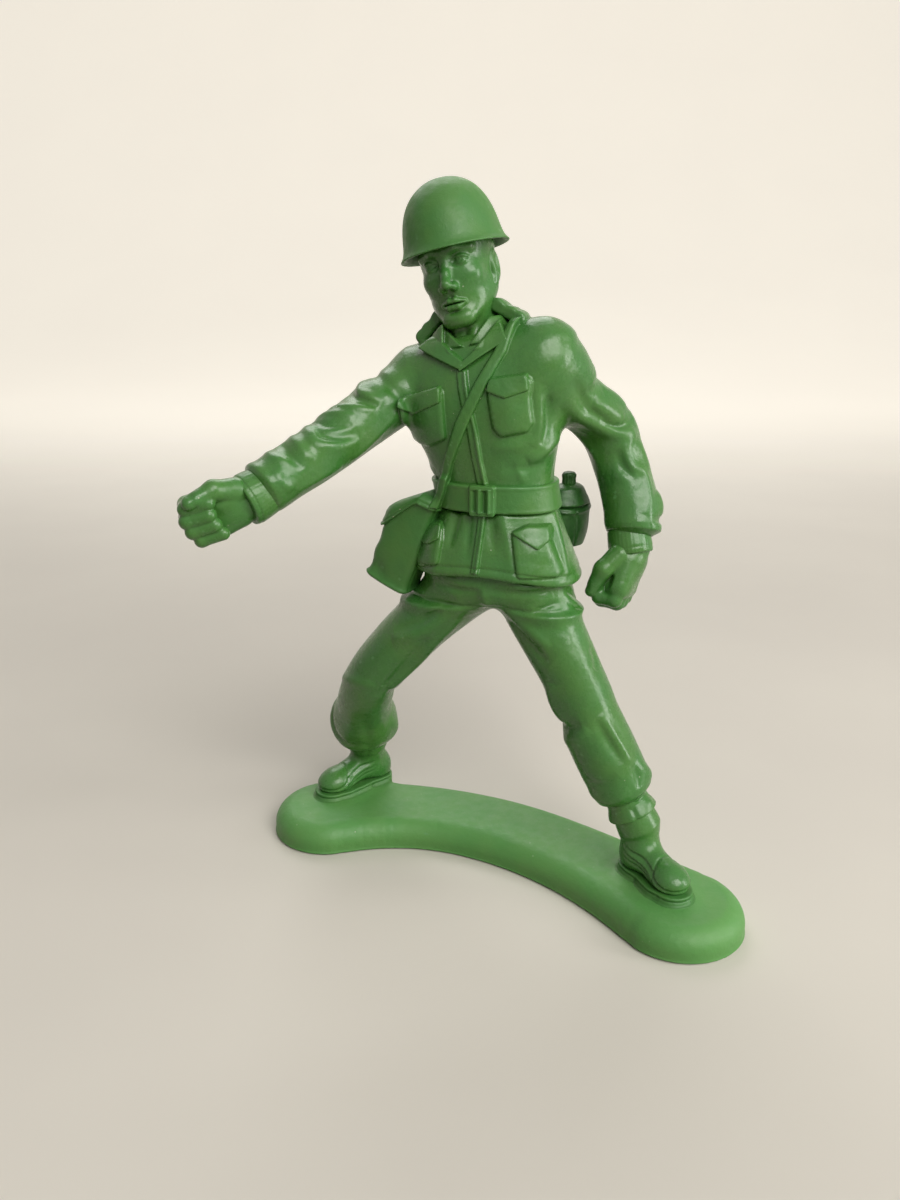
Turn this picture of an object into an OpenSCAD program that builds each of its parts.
// Toy soldier striding on a bowed stand, in one green plastic.
// The figure faces -Y, its left hand is at +X, and the table is the plane z = 0.

/* [Stand] */
// Height of the stand's flat top, where the boots are
base_h = 7; // [5:0.5:9]
// Distance between the middles of the stand's two round ends
base_span = 88.5; // [80:1:100]
// How far the stand's middle bows backwards from its ends
base_bow = 12.8; // [10:0.2:15]
// How far the bow swings back on the right and forwards on the left
base_skew = 3; // [0:0.5:5]
// Turn of the stand's long way from the X axis, in degrees
base_turn = -27; // [-34:1:-22]
// Half width of the stand at its round ends
base_end_r = 13.8; // [12:0.5:17]
// Half width of the stand at its waist
base_waist_r = 10.8; // [9.5:0.2:12]
// Rounding of the stand's upper edge
base_edge_r = 4.6; // [2:0.2:5]
// Draft that draws the stand in at its lower edge
base_tuck = 0.9; // [0.4:0.1:1.5]

/* [Legs] */
// Height of the hip joints above the table
hip_z = 69; // [66:0.5:72]
// Half of the distance between the hip joints
hip_half = 7.5; // [6.5:0.1:8.5]
// Middle of the pelvis, sideways
pelvis_x = -4.9; // [-7:0.5:-3]
// Middle of the pelvis, front to back
pelvis_y = -8.5; // [-11:0.5:-6]
// Height of the ankles above the stand
ankle_h = 11.5; // [10:0.5:13]
// Right ankle, sideways, as a share of the stand's span
ankle_r_x_share = -0.4124; // [-0.43:0.002:-0.38]
// Right ankle, front to back, as a share of the stand's span
ankle_r_y_share = 0.209; // [0.18:0.002:0.24]
// Left ankle, sideways, as a share of the stand's span
ankle_l_x_share = 0.2938; // [0.27:0.002:0.32]
// Left ankle, front to back, as a share of the stand's span
ankle_l_y_share = -0.2542; // [-0.28:0.002:-0.23]
// How far the bent right knee stands out sideways
knee_r_out = 9; // [7:0.5:11]
// How far the bent right knee stands out forwards
knee_r_fwd = 5; // [2:0.5:8]
// How far the left knee stands out forwards
knee_l_fwd = 1.5; // [0:0.5:4]
// Half thickness of the trouser legs
trouser_r = 7.9; // [7:0.1:8.6]
// Half width of the trousers' seat
seat_w = 15.4; // [14:0.2:16.4]
// Half depth of the trousers' seat
seat_d = 10.4; // [9.5:0.2:11.4]
// Height of the crotch below the jacket's hem
seat_drop = 7.6; // [6.6:0.2:9]

/* [Boots] */
// Length of a boot's sole
boot_len = 21; // [19:0.5:23]
// Width of a boot's sole at the ball of the foot
boot_w = 8.8; // [8:0.2:9.8]
// Width of a boot's sole at the heel
heel_w = 7.2; // [6.4:0.2:8]
// Thickness of a boot's sole
sole_h = 1.5; // [1:0.1:2]
// How far the sole's welt stands out round the upper
welt = 0.5; // [0.3:0.1:0.8]
// Half thickness of a boot's shaft
shaft_r = 4.5; // [4:0.1:5]
// How far a boot's buckled cuff stands out round the shaft
cuff_lip = 0.5; // [0.3:0.1:0.8]
// Direction of the right boot's toe, in degrees
boot_r_turn = 218; // [210:1:226]
// Direction of the left boot's toe, in degrees
boot_l_turn = -57; // [-65:1:-49]

/* [Jacket] */
// Height of the jacket's hem
hem_z = 73; // [71:0.5:75]
// Height of the belt's lower edge
belt_z = 86.8; // [85:0.2:89]
// Height of the jacket's top, round the neck
neck_z = 121.5; // [117:0.5:123]
// Half width of the jacket at its hem
hem_w = 17.6; // [16.6:0.2:18.6]
// Half depth of the jacket at its hem
hem_d = 12.4; // [11.6:0.2:13.4]
// Half width of the jacket at the belt
waist_w = 12.3; // [11.5:0.1:13.1]
// Half depth of the jacket at the belt
waist_d = 9.4; // [8.8:0.1:10]
// Half width of the jacket's chest
chest_w = 16.4; // [15.4:0.2:17.4]
// Half depth of the jacket's chest
chest_d = 10.6; // [9.8:0.2:11.4]
// How far the neck leans to the right from above the waist
lean_x = -5.6; // [-9:0.2:-4]
// How far the neck leans back from above the waist
lean_y = 1.2; // [0:0.2:3]
// Turn of the chest towards the right, in degrees
torso_turn = -16; // [-18:1:-4]
// Rise of the left shoulder over the right one, in degrees
shoulder_tilt = 11; // [4:1:13]
// Thickness of the front placket
placket_t = 0.5; // [0.3:0.1:0.7]
// Width of the front placket
placket_w = 3.2; // [2.4:0.1:4]
// Thickness of the pockets
pocket_t = 0.8; // [0.5:0.1:1.1]
// Thickness of the pocket flaps over the pockets
flap_t = 0.5; // [0.3:0.1:0.8]
// Width of a chest pocket
chest_pocket_w = 8.6; // [7.6:0.2:9.4]
// Height of a chest pocket
chest_pocket_h = 11.4; // [10:0.2:12.4]
// Middle of a chest pocket from the placket's middle
chest_pocket_x = 8; // [7.2:0.2:8.8]
// Height of the chest pockets' lower edge
chest_pocket_z = 101; // [99:0.2:103]
// Width of a hip pocket
hip_pocket_w = 8.8; // [8.4:0.2:10.2]
// Height of a hip pocket
hip_pocket_h = 10.4; // [9.4:0.2:11.2]
// Middle of a hip pocket from the placket's middle
hip_pocket_x = 10.8; // [9.6:0.2:11.2]

/* [Collar] */
// Half thickness of the neck
neck_r = 5.1; // [4.6:0.1:5.6]
// Height of the collar over the jacket's top
collar_h = 2; // [1.4:0.1:2.8]
// Thickness of the collar at its lower edge
collar_t = 2.6; // [2:0.1:3.2]
// Thickness of the collar at its upper edge
collar_lip = 1.2; // [0.8:0.1:1.6]
// Width of the collar's opening under the chin
collar_gap = 5.6; // [4.6:0.2:6.6]
// Thickness of the collar's two leaves on the chest
leaf_t = 0.9; // [0.6:0.1:1.2]
// Half thickness of the rolled hood behind the collar
hood_r = 2.9; // [2.4:0.1:3.4]
// Height of the rolled hood's middle over the jacket's top
hood_lift = 2.2; // [1.4:0.2:3]

/* [Arms] */
// Half of the distance between the shoulder joints
shoulder_half = 13.8; // [12.6:0.2:14.2]
// Length of an upper arm
upper_arm = 23; // [22.5:0.5:25.5]
// Length of the right forearm
forearm_r = 21.8; // [20.2:0.2:23]
// Length of the left forearm
forearm_l = 26.4; // [24.8:0.2:27.6]
// Direction of the right upper arm, in degrees round from the X axis
upper_r_turn = 215; // [207:1:223]
// Rise of the right upper arm, in degrees
upper_r_tilt = -33; // [-39:1:-27]
// Direction of the right forearm, in degrees round from the X axis
fore_r_turn = 214; // [206:1:222]
// Rise of the right forearm, in degrees
fore_r_tilt = -24; // [-30:1:-18]
// Direction of the left upper arm, in degrees round from the X axis
upper_l_turn = 31; // [25:1:37]
// Rise of the left upper arm, in degrees
upper_l_tilt = -42; // [-48:1:-36]
// Direction of the left forearm, in degrees round from the X axis
fore_l_turn = -57; // [-65:1:-49]
// Rise of the left forearm, in degrees
fore_l_tilt = -70; // [-75:1:-65]
// Direction of the right hand, in degrees round from the X axis
hand_r_turn = 200; // [192:1:208]
// Rise of the right hand, in degrees
hand_r_tilt = -18; // [-26:1:-10]
// Direction of the left hand, in degrees round from the X axis
hand_l_turn = 200; // [192:1:208]
// Rise of the left hand, in degrees
hand_l_tilt = -72; // [-80:1:-64]
// Curl of the fingers towards the palm, in degrees
finger_turn = 112; // [100:1:120]
// Half thickness of a sleeve
sleeve_r = 7; // [6.4:0.1:7.4]
// Length of a shirt cuff
cuff_len = 5.2; // [4.4:0.2:6]
// Half thickness of a shirt cuff
cuff_r = 4.7; // [4.3:0.1:5.1]
// Half thickness of the wrists
wrist_r = 3.6; // [3.2:0.1:4]
// Half width of the palms
palm_w = 5.4; // [4.8:0.1:6]
// Half thickness of the palms
palm_t = 3; // [2.6:0.1:3.4]
// Length of the palms
palm_len = 9; // [8:0.2:10]
// Half thickness of the fingers
finger_r = 1.35; // [1.2:0.05:1.5]

/* [Head] */
// Length of the neck, from the jacket's top to the chin's height
neck_len = 3.4; // [3:0.2:5]
// Height of the head, from chin to crown
head_h = 24; // [23.5:0.5:26.5]
// Half width of the head
head_w = 7.7; // [7.2:0.1:8.2]
// Half depth of the head
head_d = 9.4; // [8.8:0.1:10]
// Lean of the head to the right, in degrees
head_lean = 14; // [6:1:18]
// Turn of the face to the right, in degrees
head_turn = -20; // [-30:1:-10]
// Height of the helmet's rim over the chin
rim_z = 12.4; // [11.6:0.2:13.4]
// Half width of the helmet at its rim
rim_w = 11; // [10:0.1:11.4]
// Half depth of the helmet at its rim
rim_d = 12.6; // [11.8:0.1:13.4]
// How far the rim flares out from the dome
rim_flare = 1.3; // [0.8:0.1:1.8]
// Thickness of the helmet over the crown
helmet_t = 2.4; // [1.8:0.1:3]

/* [Kit] */
// Width of the belt
belt_w = 5.8; // [5:0.2:6.6]
// Thickness of the belt
belt_t = 0.9; // [0.6:0.1:1.2]
// Width of the belt's buckle
buckle_w = 5.6; // [4.8:0.2:6.4]
// How far the buckle stands out from the belt
buckle_t = 0.7; // [0.5:0.1:1]
// Width of the bag's sling
strap_w = 3.4; // [2.8:0.2:4]
// Thickness of the bag's sling
strap_t = 1.2; // [1:0.1:1.5]
// Gap between the collar and the middle of the sling, on the shoulder
strap_gap = 0.5; // [0.2:0.1:1]
// Lean of the sling from upright, in degrees
strap_lean = 26; // [22:1:30]
// Width of the bag
bag_w = 10.6; // [9.6:0.2:11.6]
// Thickness of the bag
bag_t = 7.2; // [6.4:0.2:8]
// Height of the bag
bag_h = 19; // [17.5:0.5:20.5]
// How far the bag's top lies in from the hem's edge
bag_in = 6.5; // [5:0.1:8]
// Rounding of the bag's edges
bag_edge_r = 1.6; // [1:0.1:2.2]
// Lean of the bag's lower end away from the leg, in degrees
bag_lean = 22; // [16:1:28]
// Thickness of the bag's flap
bag_flap_t = 0.7; // [0.5:0.1:1]
// Half width of the water bottle
bottle_w = 4.4; // [4:0.1:5]
// Half thickness of the water bottle
bottle_d = 3.4; // [3:0.1:3.8]
// Height of the water bottle, to its shoulder
bottle_h = 13; // [12:0.5:14]
// Half width of the water bottle's cap
bottle_cap_r = 1.8; // [1.5:0.1:2.1]
// Height of the water bottle's cap
bottle_cap_h = 2.6; // [2:0.2:3.2]
// Thickness of the water bottle's cover
cover_t = 0.6; // [0.4:0.1:0.8]

/* [Hidden] */
plastic = "#3f8a45";

// Sides of a limb's section, of the torso's and of the head's
limb_sides = 18;
torso_sides = 36;
head_sides = 28;
// One overrun for all cuts
cut = 2;
// Squareness of the sections: 2 is an ellipse
limb_square = 2.1;
torso_square = 2.3;

function lerp(a, b, t) = a + (b - a) * t;
function unit(v) = v / norm(v);
function turned(v, deg) =
    [v[0] * cos(deg) - v[1] * sin(deg), v[0] * sin(deg) + v[1] * cos(deg), v[2]];
function heading(azimuth, rise) =
    [cos(rise) * cos(azimuth), cos(rise) * sin(azimuth), sin(rise)];
function power(c, square) = sign(c) * pow(abs(c), 2 / square);

// One section: centre c, axes u and v with half sizes a and b
function ring(c, u, v, a, b, square, sides) =
    [for (i = [0 : sides - 1]) let (w = 360 * i / sides)
        c + u * a * power(cos(w), square) + v * b * power(sin(w), square)];

// Smooth line through the points p, where t counts the points
function spline(p, t) = let (
        last = len(p) - 1,
        s = min(floor(t), last - 1),
        u = t - s,
        a = p[max(s - 1, 0)],
        b = p[s],
        c = p[s + 1],
        d = p[min(s + 2, last)])
    (2 * b + (c - a) * u + (2 * a - 5 * b + 4 * c - d) * u * u
        + (3 * b - a - 3 * c + d) * u * u * u) / 2;
slope_step = 0.02;
function slope(p, t) =
    unit(spline(p, min(t + slope_step, len(p) - 1)) - spline(p, max(t - slope_step, 0)));

// Sections along a limb. A row of shares is [place along p, half width, half depth].
function limb_rings(p, shares, r) =
    [for (row = shares) let (
            d = slope(p, row[0]),
            u = unit(cross([0, 1, 0], d)),
            v = cross(d, u))
        ring(spline(p, row[0]), u, v, r * row[1], r * row[2], limb_square, limb_sides)];

// Closed solid through sections that all have the same number of points
module loft(rings) {
    n = len(rings[0]);
    m = len(rings);
    sides = [for (j = [0 : m - 2]) for (i = [0 : n - 1]) let (k = (i + 1) % n) each [
        [j * n + i, (j + 1) * n + k, j * n + k],
        [j * n + i, (j + 1) * n + i, (j + 1) * n + k]]];
    bottom = [for (i = [0 : n - 1]) i];
    top = [for (i = [n - 1 : -1 : 0]) (m - 1) * n + i];
    polyhedron([for (r = rings) each r], concat([bottom], sides, [top]));
}

// Puts children at o with their X axis along ahead and their Z axis near up
module place(o, ahead, up) {
    f = unit(ahead);
    s = unit(cross(up, f));
    w = cross(f, s);
    multmatrix([for (k = [0 : 2]) [f[k], s[k], w[k], o[k]]]) children();
}

module ball(p, r, sides = 16) {
    translate(p) sphere(r, $fn = sides);
}

// The stand: a bar with round ends along a bowed line
base_steps = 15;
base_arc_steps = 7;
base_rim_steps = 4;
function base_bar(s) = [s * base_span / 2, -base_bow * s * s - base_skew * s * (1 - s * s)];
function base_normal(s) = unit([2 * base_bow * s + base_skew * (1 - 3 * s * s), base_span / 2]);
function base_half(s) = lerp(base_waist_r, base_end_r, pow(abs(s), 3));
// Pairs of points on the stand's two long edges, from tip to tip, drawn in by inset
function base_pairs(inset) = let (
        round_end = function (s, deg) let (
                n = base_normal(s),
                a = [n[1], -n[0]],
                r = base_half(s) - inset)
            [for (k = [1, -1]) base_bar(s) + sign(s) * a * r * sin(deg) + n * k * r * cos(deg)])
    concat(
        [for (i = [base_arc_steps - 1 : -1 : 1]) round_end(-1, 90 * i / base_arc_steps)],
        [for (i = [0 : base_steps]) let (s = 2 * i / base_steps - 1)
            [for (k = [1, -1]) base_bar(s) + base_normal(s) * k * (base_half(s) - inset)]],
        [for (i = [1 : base_arc_steps - 1]) round_end(1, 90 * i / base_arc_steps)]);
base_rows = concat(
    [[base_tuck, -cut], [base_tuck, 0], [0, base_tuck]],
    [for (i = [0 : base_rim_steps]) let (w = 90 * i / base_rim_steps)
        [base_edge_r * (1 - cos(w)), base_h - base_edge_r * (1 - sin(w))]]);

module base_shell() {
    levels = [for (row = base_rows) [for (pair = base_pairs(row[0]))
        [for (q = pair) [q[0], q[1], row[1]]]]];
    m = len(levels);
    n = len(levels[0]);
    // Point number of a level, a place along the stand and an edge
    function at(j, i, k) = (j * n + i) * 2 + k;
    walls = [for (j = [0 : m - 2]) for (i = [0 : n - 2]) each [
        [at(j, i, 0), at(j, i + 1, 0), at(j + 1, i + 1, 0)],
        [at(j, i, 0), at(j + 1, i + 1, 0), at(j + 1, i, 0)],
        [at(j, i, 1), at(j + 1, i + 1, 1), at(j, i + 1, 1)],
        [at(j, i, 1), at(j + 1, i, 1), at(j + 1, i + 1, 1)]]];
    tips = [for (j = [0 : m - 2]) each [
        [at(j, 0, 1), at(j, 0, 0), at(j + 1, 0, 0)],
        [at(j, 0, 1), at(j + 1, 0, 0), at(j + 1, 0, 1)],
        [at(j, n - 1, 0), at(j, n - 1, 1), at(j + 1, n - 1, 1)],
        [at(j, n - 1, 0), at(j + 1, n - 1, 1), at(j + 1, n - 1, 0)]]];
    caps = [for (i = [0 : n - 2]) each [
        [at(0, i, 0), at(0, i, 1), at(0, i + 1, 1)],
        [at(0, i, 0), at(0, i + 1, 1), at(0, i + 1, 0)],
        [at(m - 1, i, 0), at(m - 1, i + 1, 1), at(m - 1, i, 1)],
        [at(m - 1, i, 0), at(m - 1, i + 1, 0), at(m - 1, i + 1, 1)]]];
    polyhedron([for (l = levels) for (pair = l) each pair], concat(walls, tips, caps));
}

module base() {
    reach = base_span + base_end_r;
    color(plastic) rotate(base_turn) difference() {
        base_shell();
        translate([-reach, -reach, -2 * cut]) cube([2 * reach, 2 * reach, 2 * cut]);
    }
}

// Bones of the legs
pelvis = [pelvis_x, pelvis_y, hip_z];
torso_side = turned([1, 0, 0], torso_turn);
hip_r = pelvis - torso_side * hip_half;
hip_l = pelvis + torso_side * hip_half;
ankle_r = [ankle_r_x_share * base_span, ankle_r_y_share * base_span, base_h + ankle_h];
ankle_l = [ankle_l_x_share * base_span, ankle_l_y_share * base_span, base_h + ankle_h];
knee_share = 0.5;
knee_r = lerp(hip_r, ankle_r, knee_share) - [knee_r_out, knee_r_fwd, 0];
knee_l = lerp(hip_l, ankle_l, knee_share) - [0, knee_l_fwd, 0];
leg_r = [hip_r, knee_r, ankle_r];
leg_l = [hip_l, knee_l, ankle_l];

// Places along a leg where the trousers end and where the boot's cuff ends
trouser_end_r_share = 1.68;
trouser_end_l_share = 1.64;
boot_top_share = 1.88;
trouser_r_shares = [
    [0, 0.98, 1.06], [0.2, 0.94, 1.04], [0.45, 0.88, 1], [0.7, 0.83, 0.95], [0.9, 0.79, 0.92],
    [1.05, 0.78, 0.9], [1.2, 0.81, 0.9], [1.36, 0.9, 0.94], [1.5, 1, 0.98], [1.6, 0.98, 0.94],
    [trouser_end_r_share, 0.7, 0.72]];
trouser_l_shares = [
    [0, 0.98, 1.04], [0.2, 0.98, 1.02], [0.45, 0.93, 0.98], [0.7, 0.9, 0.95], [0.88, 0.88, 0.93],
    [1, 0.85, 0.92], [1.15, 0.85, 0.92], [1.32, 0.87, 0.93], [1.46, 0.86, 0.92], [1.57, 0.8, 0.84],
    [trouser_end_l_share, 0.66, 0.68]];

module leg_solid(leg, shares) {
    loft(limb_rings(leg, shares, trouser_r));
}

module trouser_leg(leg, shares) {
    color(plastic) difference() {
        leg_solid(leg, shares);
        seat_solid();
        hem_cut();
    }
}

module trouser_leg_r() {
    trouser_leg(leg_r, trouser_r_shares);
}

module trouser_leg_l() {
    trouser_leg(leg_l, trouser_l_shares);
}

// All that is over the hem's plane
module hem_cut() {
    translate([pelvis_x - 2 * hem_w, pelvis_y - 2 * hem_w, hem_z]) cube(4 * hem_w);
}

// The seat hangs from the hem's plane down to the crotch
seat_shares = [
    [1, 0.2, 0.3], [0.94, 0.42, 0.6], [0.78, 0.66, 0.82], [0.5, 0.86, 0.96], [0, 0.96, 1]];
function seat_rings() =
    [for (row = seat_shares)
        ring([pelvis_x, pelvis_y, hem_z - seat_drop * row[0]],
            torso_side, turned([0, 1, 0], torso_turn),
            seat_w * row[1], seat_d * row[2], torso_square, torso_sides)];

module seat_solid() {
    loft(seat_rings());
}

module trouser_seat() {
    color(plastic) seat_solid();
}

// Boots: a shaft down the leg, a foot ahead of it and a flat sole
heel_share = 0.26;
boot_cuff_shares = [[0, 1, 1], [0.3, 1.06, 1.06], [0.85, 1.02, 1.02], [1, 0.96, 0.96]];
function between(rows, low, high) = [for (row = rows) [lerp(low, high, row[0]), row[1], row[2]]];

module boot_cuff(leg, low) {
    color(plastic)
        loft(limb_rings(leg, between(boot_cuff_shares, low, boot_top_share), shaft_r + cuff_lip));
}

module boot_cuff_r() {
    boot_cuff(leg_r, trouser_end_r_share);
}

module boot_cuff_l() {
    boot_cuff(leg_l, trouser_end_l_share);
}

// Foot outline in the sole's plane, with the ankle at the origin and the toe along X
ball_share = 0.66;
module foot_outline(grow) {
    heel_r = heel_w / 2 + grow;
    ball_r = boot_w / 2 + grow;
    toe_r = boot_w / 2 - welt + grow;
    hull() {
        translate([heel_w / 2 - boot_len * heel_share, 0]) circle(heel_r, $fn = 28);
        translate([boot_len * (ball_share - heel_share), 0]) circle(ball_r, $fn = 28);
        translate([boot_len * (1 - heel_share) - boot_w / 2, 0]) circle(toe_r, $fn = 28);
    }
}

module on_foot(ankle, turn) {
    translate([ankle[0], ankle[1], base_h]) rotate(turn) children();
}

module sole(ankle, turn) {
    color(plastic) on_foot(ankle, turn) linear_extrude(sole_h) foot_outline(0);
}

module sole_r() {
    sole(ankle_r, boot_r_turn);
}

module sole_l() {
    sole(ankle_l, boot_l_turn);
}

// Level sections of a boot, from the sole up: [height, half length, half width, middle along the foot]
boot_shares = [
    [0, 0.96, 0.94, 0.5], [0.16, 1, 0.98, 0.5], [0.3, 0.95, 0.95, 0.48], [0.42, 0.84, 0.9, 0.44],
    [0.54, 0.71, 0.84, 0.39], [0.68, 0.58, 0.82, 0.33], [0.82, 0.5, 0.84, 0.29], [0.93, 0.47, 0.88, 0.27]];
module boot(leg, ankle, turn) {
    ahead = heading(turn, 0);
    across = cross([0, 0, 1], ahead);
    up = -slope(leg, boot_top_share);
    top_ahead = unit(ahead - up * (ahead * up));
    top = spline(leg, boot_top_share);
    floor_z = base_h + sole_h;
    color(plastic) loft(concat(
        [for (row = boot_shares)
            ring([ankle[0], ankle[1], lerp(floor_z, base_h + ankle_h, row[0])]
                    + ahead * boot_len * (row[3] - heel_share),
                ahead, across, (boot_len / 2 - welt) * row[1], (boot_w / 2 - welt) * row[2],
                torso_square, limb_sides)],
        [ring(top, top_ahead, cross(up, top_ahead), shaft_r, shaft_r, limb_square, limb_sides)]));
}

module boot_r() {
    boot(leg_r, ankle_r, boot_r_turn);
}

module boot_l() {
    boot(leg_l, ankle_l, boot_l_turn);
}

// The jacket. A place up the torso is a share from the belt's lower edge to the neck.
waist = [pelvis_x, pelvis_y, belt_z];
torso_depth = turned([0, 1, 0], torso_turn);
function torso_point(s) = waist + [lean_x * s, lean_y * s, (neck_z - belt_z) * s];
function torso_u(s) = turned([cos(shoulder_tilt * s), 0, sin(shoulder_tilt * s)], torso_turn);
belt_top_share = belt_w / (neck_z - belt_z);
// Rows of [place up from the belt, half width, half depth]
jacket_shares = [
    [0.12, 0.8, 0.93], [0.3, 0.9, 1], [0.5, 0.98, 1.02], [0.66, 1.02, 0.98], [0.79, 1.02, 0.88],
    [0.89, 0.98, 0.76], [0.96, 0.85, 0.68], [1, 0.58, 0.6]];
function jacket_rings(t) = concat(
    [for (s = [0, belt_top_share]) ring(torso_point(s), torso_u(0), torso_depth,
        waist_w + t, waist_d + t, torso_square, torso_sides)],
    [for (row = jacket_shares) let (s = lerp(belt_top_share, 1, row[0]))
        ring(torso_point(s), torso_u(row[0]), torso_depth,
            chest_w * row[1] + t, chest_d * row[2] + t, torso_square, torso_sides)]);

// Rows from the hem up to the belt, as shares of the height and of the way in to the waist
skirt_shares = [[0, 0.04], [0.08, 0], [0.35, 0.26], [0.7, 0.7], [1, 1]];
function skirt_rings(t) =
    [for (row = skirt_shares)
        ring([pelvis_x, pelvis_y, lerp(hem_z, belt_z, row[0])], torso_side, torso_depth,
            lerp(hem_w, waist_w, row[1]) + t, lerp(hem_d, waist_d, row[1]) + t,
            torso_square, torso_sides)];

module jacket_solid(t = 0) {
    loft(jacket_rings(t));
}

module skirt_solid(t = 0) {
    loft(skirt_rings(t));
}

module jacket_body() {
    color(plastic) jacket_solid();
}

module jacket_skirt() {
    color(plastic) skirt_solid();
}

// A prism that runs out of the torso's front. Its outline is in the plane of the chest.
front_reach = 2 * chest_d;
module front_prism() {
    translate([pelvis_x, pelvis_y, 0]) rotate(torso_turn) rotate([90, 0, 0])
        linear_extrude(front_reach) children();
}

// The chest's middle line leans with the torso
function chest_x(z) = lean_x * (z - belt_z) / (neck_z - belt_z);

pocket_point_share = 0.2;
flap_drop_share = 0.34;
module pocket_outline(x, z, w, h) {
    translate([x, z]) polygon([[-w / 2, 0], [w / 2, 0], [w / 2, h], [-w / 2, h]]);
}

module flap_outline(x, z, w, h) {
    drop = h * flap_drop_share;
    point = h * pocket_point_share;
    translate([x, z])
        polygon([[-w / 2, h], [-w / 2, h - drop], [0, h - drop - point], [w / 2, h - drop], [w / 2, h]]);
}

// The sling's slab. Everything that the sling crosses is cut back to its edges.
strap_point = torso_point(1) + torso_u(1) * (neck_r + collar_t + strap_gap);
strap_low_z = belt_z + belt_w + strap_t;
module sling_slab(out = 0) {
    tall = 4 * (neck_z - belt_z);
    deep = 8 * chest_d;
    translate(strap_point) rotate([0, strap_lean, 0])
        translate([-strap_w / 2, -deep / 2, -tall / 2]) cube([strap_w + out, deep, tall]);
}

// The chest's pockets lean with the shoulders
module on_chest() {
    translate([chest_x(chest_pocket_z), chest_pocket_z]) rotate(shoulder_tilt) children();
}

module chest_pocket(side) {
    color(plastic) difference() {
        intersection() {
            jacket_solid(pocket_t);
            front_prism() on_chest() pocket_outline(side * chest_pocket_x, 0, chest_pocket_w, chest_pocket_h);
        }
        jacket_solid();
        sling_slab();
    }
}

module chest_flap(side) {
    color(plastic) difference() {
        intersection() {
            jacket_solid(pocket_t + flap_t);
            front_prism() on_chest() flap_outline(side * chest_pocket_x, 0, chest_pocket_w, chest_pocket_h);
        }
        jacket_solid(pocket_t);
        sling_slab();
    }
}

module chest_pocket_r() {
    chest_pocket(-1);
}

module chest_pocket_l() {
    chest_pocket(1);
}

module chest_flap_r() {
    chest_flap(-1);
}

module chest_flap_l() {
    chest_flap(1);
}

hip_pocket_gap_share = 0.12;
hip_pocket_z = hem_z + (belt_z - hem_z) * hip_pocket_gap_share;
module hip_pocket(side) {
    color(plastic) difference() {
        intersection() {
            skirt_solid(pocket_t);
            front_prism() pocket_outline(side * hip_pocket_x, hip_pocket_z, hip_pocket_w, hip_pocket_h);
        }
        skirt_solid();
    }
}

module hip_flap(side) {
    color(plastic) difference() {
        intersection() {
            skirt_solid(pocket_t + flap_t);
            front_prism() flap_outline(side * hip_pocket_x, hip_pocket_z, hip_pocket_w, hip_pocket_h);
        }
        skirt_solid(pocket_t);
    }
}

module hip_pocket_r() {
    hip_pocket(-1);
}

module hip_pocket_l() {
    hip_pocket(1);
}

module hip_flap_r() {
    hip_flap(-1);
}

module hip_flap_l() {
    hip_flap(1);
}

module placket_outline(low, high) {
    polygon([for (q = [[low, -1], [low, 1], [high, 1], [high, -1]])
        [(q[0] > belt_z ? chest_x(q[0]) : 0) + q[1] * placket_w / 2, q[0]]]);
}

// One collar leaf's outline, from the opening's foot outwards, as shares of the chest's half width
leaf_shares = [[0, -0.35], [0.44, -0.2], [0.5, 0.12], [0, 0.12]];

// The upper placket runs from the belt to the foot of the collar's leaves
placket_top = neck_z + leaf_shares[0][1] * chest_w;
module placket_upper() {
    color(plastic) difference() {
        intersection() {
            jacket_solid(placket_t);
            front_prism() placket_outline(belt_z + belt_w, placket_top);
        }
        jacket_solid();
    }
}

module placket_lower() {
    color(plastic) difference() {
        intersection() {
            skirt_solid(placket_t);
            front_prism() placket_outline(hem_z, belt_z);
        }
        skirt_solid();
    }
}

module belt_solid(t) {
    loft([for (s = [0, belt_top_share]) ring(torso_point(s), torso_u(0), torso_depth,
        waist_w + t, waist_d + t, torso_square, torso_sides)]);
}

module belt() {
    color(plastic) difference() {
        belt_solid(belt_t);
        jacket_solid();
    }
}

buckle_bar_share = 0.22;
buckle_plate_share = 0.4;
module belt_buckle() {
    bar = buckle_w * buckle_bar_share;
    color(plastic) difference() {
        union() {
            intersection() {
                belt_solid(belt_t + buckle_t * buckle_plate_share);
                front_prism() translate([-buckle_w / 2, belt_z]) square([buckle_w, belt_w]);
            }
            intersection() {
                belt_solid(belt_t + buckle_t);
                front_prism() for (k = [-1, 0, 1])
                    translate([k * (buckle_w - bar) / 2 - bar / 2, belt_z]) square([bar, belt_w]);
            }
        }
        belt_solid(belt_t);
    }
}

// The neck's plane carries the head, the collar and the hood
neck_c = torso_point(1);
neck_u = torso_u(1);
neck_up = cross(neck_u, torso_depth);

module on_neck() {
    place(neck_c, neck_u, neck_up) children();
}

collar_rows = [[-collar_h, neck_r + collar_t], [0, neck_r + collar_t], [collar_h, neck_r + collar_lip]];
module collar_solid() {
    on_neck() loft([for (row = collar_rows)
        ring([0, 0, row[0]], [1, 0, 0], [0, 1, 0], row[1], row[1], 2, head_sides)]);
}

module leaf_outline(side) {
    translate([lean_x, neck_z]) polygon([for (q = leaf_shares) [side * q[0], q[1]] * chest_w]);
}

module collar_leaves() {
    difference() {
        intersection() {
            jacket_solid(leaf_t);
            front_prism() for (side = [-1, 1]) leaf_outline(side);
        }
        sling_slab();
    }
}

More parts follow.
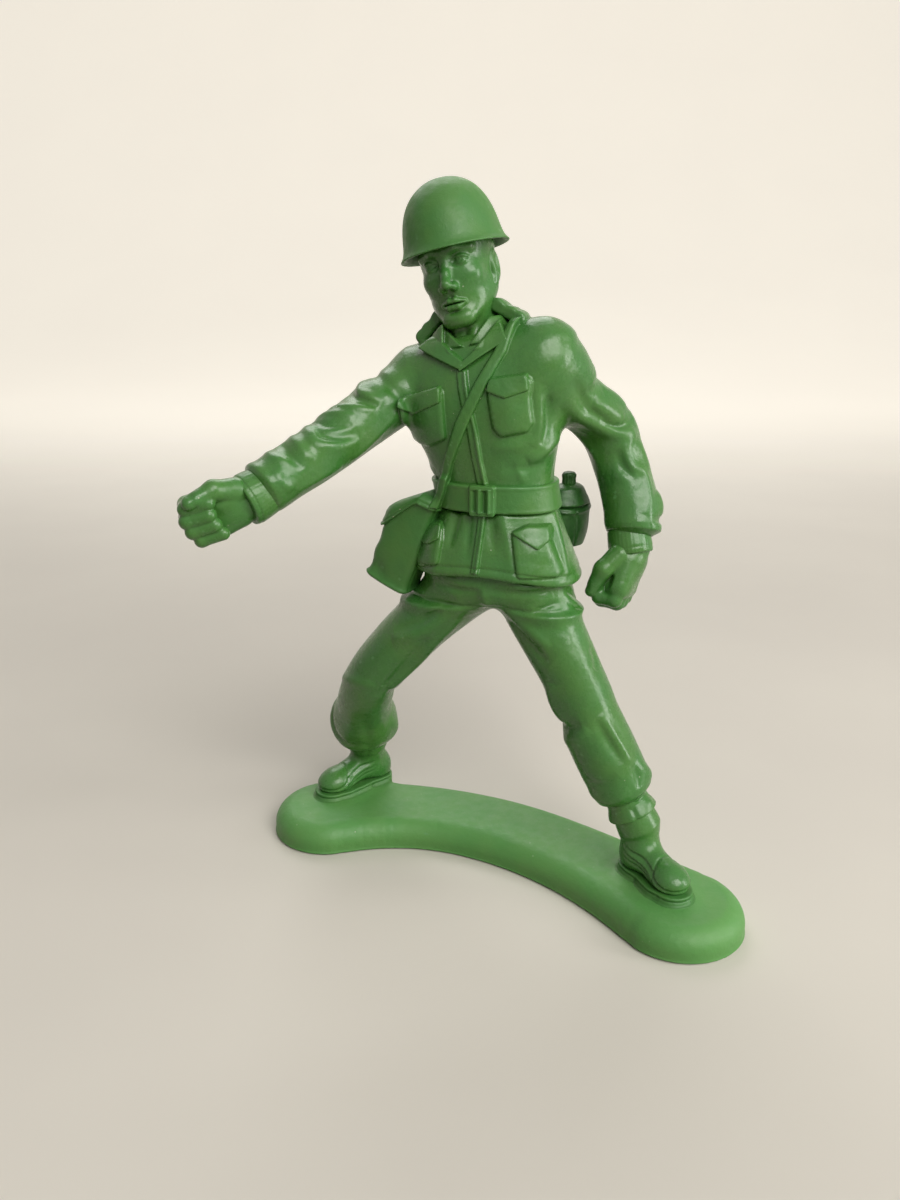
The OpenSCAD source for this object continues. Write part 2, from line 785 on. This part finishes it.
module collar() {
    color(plastic) difference() {
        union() {
            collar_solid();
            collar_leaves();
        }
        jacket_solid();
        head_solid();
        on_neck() rotate([90, 0, 0]) linear_extrude(front_reach)
            polygon([[0, -2 * collar_h], [collar_gap / 2, 2 * collar_h], [-collar_gap / 2, 2 * collar_h]]);
    }
}

hood_turn = 210;
module hood_roll() {
    color(plastic) difference() {
        on_neck() translate([0, 0, hood_lift]) rotate(90 - hood_turn / 2)
            rotate_extrude(angle = hood_turn, $fn = 40)
                translate([neck_r + collar_t, 0]) circle(hood_r, $fn = 20);
        jacket_solid();
        collar_solid();
        head_solid();
        sling_slab(4 * neck_r);
    }
}

// Arms
shoulder_share = 0.8;
shoulder_c = torso_point(shoulder_share);
shoulder_u = torso_u(shoulder_share);
shoulder_r = shoulder_c - shoulder_u * shoulder_half;
shoulder_l = shoulder_c + shoulder_u * shoulder_half;
elbow_r = shoulder_r + upper_arm * heading(upper_r_turn, upper_r_tilt);
end_r = elbow_r + forearm_r * heading(fore_r_turn, fore_r_tilt);
elbow_l = shoulder_l + upper_arm * heading(upper_l_turn, upper_l_tilt);
end_l = elbow_l + forearm_l * heading(fore_l_turn, fore_l_tilt);
arm_r = [shoulder_r, elbow_r, end_r];
arm_l = [shoulder_l, elbow_l, end_l];
// Place along each arm where the sleeve ends, and how far before it the blousing starts to turn in
sleeve_end_r_share = 2 - cuff_len / forearm_r;
sleeve_end_l_share = 2 - cuff_len / forearm_l;
sleeve_turn_in_share = 0.05;
sleeve_r_shares = [
    [0, 0.98, 1.05], [0.25, 0.97, 1.04], [0.5, 0.9, 0.98], [0.75, 0.86, 0.95], [1, 0.85, 0.93],
    [1.25, 0.84, 0.92], [1.5, 0.83, 0.9], [1.62, 0.85, 0.88],
    [sleeve_end_r_share - sleeve_turn_in_share, 0.81, 0.82], [sleeve_end_r_share, 0.68, 0.7]];
sleeve_l_shares = [
    [0, 1.02, 1.08], [0.25, 0.98, 1.06], [0.5, 0.9, 1.02], [0.75, 0.86, 0.97], [1, 0.88, 0.95],
    [1.25, 0.85, 0.9], [1.5, 0.9, 0.9], [1.66, 0.97, 0.92],
    [sleeve_end_l_share - sleeve_turn_in_share, 0.9, 0.86], [sleeve_end_l_share, 0.7, 0.7]];
cuff_shares = [[0, 0.98, 0.98], [0.5, 1.02, 1.02], [1, 1, 1]];

module sleeve(arm, shares) {
    color(plastic) difference() {
        loft(limb_rings(arm, shares, sleeve_r));
        jacket_solid();
        sling_slab();
        hood_cut();
        for (side = [-1, 1]) {
            chest_pocket(side);
            chest_flap(side);
        }
    }
}

module hood_cut() {
    on_neck() cylinder(r = neck_r + collar_t + hood_r, h = 2 * hood_r, center = true);
}

module sleeve_r() {
    sleeve(arm_r, sleeve_r_shares);
}

module sleeve_l() {
    sleeve(arm_l, sleeve_l_shares);
}

module shirt_cuff(arm, start) {
    color(plastic) loft(limb_rings(arm, between(cuff_shares, start, 2), cuff_r));
}

module shirt_cuff_r() {
    shirt_cuff(arm_r, sleeve_end_r_share);
}

module shirt_cuff_l() {
    shirt_cuff(arm_l, sleeve_end_l_share);
}

// A hand ahead of its wrist: X along the fingers, Z towards the thumb. The palm faces -Y on the left hand,
// where side is 1, and +Y on the right one, where it is -1.
finger_place_shares = [0.84, 0.28, -0.28, -0.84];
finger_len_share = 0.6;
thumb_root_shares = [0.25, -0.5, 0.6];
thumb_tip_shares = [0.95, -1, 0.8];
knuckle_share = 1.2;
thumb_share = 1.4;
finger_sides = 14;
module hand(curl, side) {
    hull() {
        ball([0, 0, 0], wrist_r);
        ball([palm_len - palm_t, 0, palm_w - palm_t], palm_t);
        ball([palm_len - palm_t, 0, palm_t - palm_w], palm_t);
    }
    for (k = finger_place_shares) {
        root = [palm_len - finger_r, side * (palm_t - finger_r * knuckle_share), k * (palm_w - finger_r)];
        knuckle = root + [2 * finger_r, 0, 0];
        tip = knuckle + palm_len * finger_len_share * [cos(curl), -side * sin(curl), 0];
        hull() {
            ball(root, finger_r * knuckle_share, finger_sides);
            ball(knuckle, finger_r * knuckle_share, finger_sides);
        }
        hull() {
            ball(knuckle, finger_r * knuckle_share, finger_sides);
            ball(tip, finger_r, finger_sides);
        }
    }
    hull() {
        for (row = [thumb_root_shares, thumb_tip_shares])
            ball([palm_len * row[0], side * palm_t * row[1], palm_w * row[2]],
                finger_r * thumb_share, finger_sides);
    }
}

// Directions of the hands and of their thumb sides
hand_r_ahead = heading(hand_r_turn, hand_r_tilt);
hand_r_up = [0, 0, 1];
hand_l_ahead = heading(hand_l_turn, hand_l_tilt);
hand_l_up = [-0.6, -1, 0];
module hand_at(arm, ahead, up, side) {
    along = slope(arm, 2);
    color(plastic) difference() {
        place(arm[2], ahead, up) hand(finger_turn, side);
        place(arm[2] - along * 4 * palm_len, along, up)
            translate([0, -2 * palm_len, -2 * palm_len]) cube(4 * palm_len);
    }
}

module hand_r() {
    hand_at(arm_r, hand_r_ahead, hand_r_up, -1);
}

module hand_l() {
    hand_at(arm_l, hand_l_ahead, hand_l_up, 1);
}

// The head stands on the neck's plane. Its face looks along -Y of its own frame.
module on_head() {
    translate(neck_c) rotate([0, -head_lean, head_turn]) children();
}

head_top = neck_len + head_h;
// Rows of [height, half width, half depth, forward shift] from the chin's height
skull_shares = [
    [0, 0.44, 0.46, 0.32], [0.06, 0.56, 0.62, 0.24], [0.18, 0.76, 0.8, 0.12], [0.32, 0.89, 0.92, 0.05],
    [0.48, 0.96, 0.98, 0], [0.62, 1, 1, 0], [0.76, 0.96, 0.97, -0.02], [0.88, 0.8, 0.82, -0.04],
    [0.96, 0.5, 0.54, -0.05], [1, 0.16, 0.18, -0.06]];
module head_solid() {
    on_head() {
        translate([0, 0, -cut]) cylinder(r = neck_r, h = neck_len + cut + head_h / 2, $fn = 32);
        loft([for (row = skull_shares)
            ring([0, -head_d * row[3], neck_len + head_h * row[0]], [1, 0, 0], [0, 1, 0],
                head_w * row[1], head_d * row[2], torso_square, head_sides)]);
    }
}

// Nose: rows of [height, half width, half depth, place ahead], from the tip's underside up to the brow
nose_shares = [[0.31, 0.14, 0.1, 1], [0.33, 0.2, 0.19, 1], [0.37, 0.18, 0.18, 1],
    [0.44, 0.13, 0.12, 0.98], [0.52, 0.1, 0.06, 0.95]];
nose_sides = 12;
module nose() {
    loft([for (row = nose_shares)
        ring([0, -head_d * row[3], neck_len + head_h * row[0]], [1, 0, 0], [0, 1, 0],
            head_w * row[1], head_d * row[2], 2, nose_sides)]);
}

// Ears: rows of [height, half thickness, half depth]
ear_shares = [[0.26, 0.08, 0.06], [0.29, 0.14, 0.11], [0.36, 0.18, 0.17],
    [0.43, 0.18, 0.19], [0.49, 0.1, 0.1]];
ear_place_share = 0.92;
module ear(side) {
    loft([for (row = ear_shares)
        ring([side * head_w * ear_place_share, 0, neck_len + head_h * row[0]], [1, 0, 0], [0, 1, 0],
            head_w * row[1], head_d * row[2], 2, nose_sides)]);
}

module head() {
    color(plastic) difference() {
        union() {
            head_solid();
            on_head() {
                nose();
                ear(-1);
                ear(1);
            }
        }
        jacket_solid();
    }
}

// Helmet: rows of [height from rim to top, size of the dome, share of the rim's flare]
helmet_top = head_top + helmet_t;
rim_rise = neck_len + rim_z;
helmet_shares = [
    [0, 1, 0.7], [0.03, 1, 1], [0.06, 1, 0.7], [0.1, 0.99, 0], [0.2, 0.97, 0], [0.37, 0.93, 0],
    [0.54, 0.85, 0], [0.71, 0.72, 0], [0.86, 0.53, 0], [0.95, 0.31, 0], [1, 0.08, 0]];
module helmet_solid() {
    on_head() loft([for (row = helmet_shares)
        ring([0, 0, lerp(rim_rise, helmet_top, row[0])], [1, 0, 0], [0, 1, 0],
            (rim_w - rim_flare) * row[1] + rim_flare * row[2],
            (rim_d - rim_flare) * row[1] + rim_flare * row[2],
            2, head_sides)]);
}

module helmet() {
    color(plastic) difference() {
        helmet_solid();
        head_solid();
    }
}

// The bag hangs on its sling at the right hip and lies round what it covers there
bag_turn = -12;
bag_top = [pelvis_x, pelvis_y, belt_z - bag_flap_t]
    - torso_side * (hem_w - bag_in + bag_w / 2) - torso_depth * bag_t / 2;
bag_square = 5;
bag_rows = [[0, -bag_edge_r], [bag_edge_r / 3, -bag_edge_r / 3], [bag_edge_r, 0],
    [bag_h - bag_edge_r, 0], [bag_h - bag_edge_r / 3, -bag_edge_r / 3], [bag_h, -bag_edge_r]];
module on_bag() {
    translate(bag_top) rotate([0, bag_lean, torso_turn + bag_turn]) translate([0, 0, -bag_h]) children();
}

module bag_solid(t) {
    on_bag() loft([for (row = bag_rows)
        ring([0, 0, row[0]], [1, 0, 0], [0, 1, 0], bag_w / 2 + row[1] + t, bag_t / 2 + row[1] + t,
            bag_square, head_sides)]);
}

module bag_rest() {
    skirt_solid(pocket_t + flap_t);
    leg_solid(leg_r, trouser_r_shares);
}

module bag() {
    color(plastic) difference() {
        bag_solid(0);
        bag_rest();
    }
}

bag_flap_share = 0.4;
module bag_flap() {
    color(plastic) difference() {
        bag_solid(bag_flap_t);
        on_bag() translate([-bag_w, -bag_w, bag_h * (1 - bag_flap_share) - 2 * bag_w]) cube(2 * bag_w);
        bag_solid(0);
        bag_rest();
    }
}

module bag_sling() {
    color(plastic) difference() {
        intersection() {
            jacket_solid(strap_t);
            sling_slab();
        }
        jacket_solid();
        placket_upper();
        bag_solid(bag_flap_t);
        collar_solid();
        head_solid();
        translate([-4 * chest_w, -4 * chest_w, strap_low_z - 8 * chest_w]) cube(8 * chest_w);
    }
}

// The water bottle hangs behind the left hip
bottle_place_turn = 46;
bottle_turn = 62;
bottle_sink_share = 0.55;
bottle_c = [pelvis_x, pelvis_y, belt_z + belt_w / 2 - bottle_h]
    + heading(torso_turn + bottle_place_turn, 0) * (lerp(hem_w, waist_w, bottle_sink_share) + bottle_d);
bottle_shares = [[0, 0.6], [0.06, 0.84], [0.2, 1], [0.7, 1], [0.88, 0.8], [0.97, 0.45], [1, 0.34]];
module bottle_solid(t) {
    translate(bottle_c) rotate(torso_turn + bottle_turn) loft([for (row = bottle_shares)
        ring([0, 0, bottle_h * row[0]], [1, 0, 0], [0, 1, 0], bottle_w * row[1] + t, bottle_d * row[1] + t,
            torso_square, head_sides)]);
}

module bottle() {
    color(plastic) difference() {
        bottle_solid(0);
        bottle_rest();
    }
}

module bottle_rest() {
    skirt_solid();
    jacket_solid();
    belt_solid(belt_t);
}

cover_share = 0.66;
module bottle_cover() {
    color(plastic) difference() {
        bottle_solid(cover_t);
        bottle_solid(0);
        bottle_rest();
        translate(bottle_c + [-bottle_h, -bottle_h, bottle_h * cover_share]) cube(2 * bottle_h);
    }
}

module bottle_cap() {
    color(plastic) translate(bottle_c + [0, 0, bottle_h])
        cylinder(r = bottle_cap_r, h = bottle_cap_h, $fn = 32);
}

base();
sole_r();
sole_l();
boot_r();
boot_l();
boot_cuff_r();
boot_cuff_l();
trouser_leg_r();
trouser_leg_l();
trouser_seat();
jacket_skirt();
jacket_body();
placket_upper();
placket_lower();
chest_pocket_r();
chest_pocket_l();
chest_flap_r();
chest_flap_l();
hip_pocket_r();
hip_pocket_l();
hip_flap_r();
hip_flap_l();
belt();
belt_buckle();
collar();
hood_roll();
sleeve_r();
sleeve_l();
shirt_cuff_r();
shirt_cuff_l();
hand_r();
hand_l();
head();
helmet();
bag();
bag_flap();
bag_sling();
bottle();
bottle_cover();
bottle_cap();
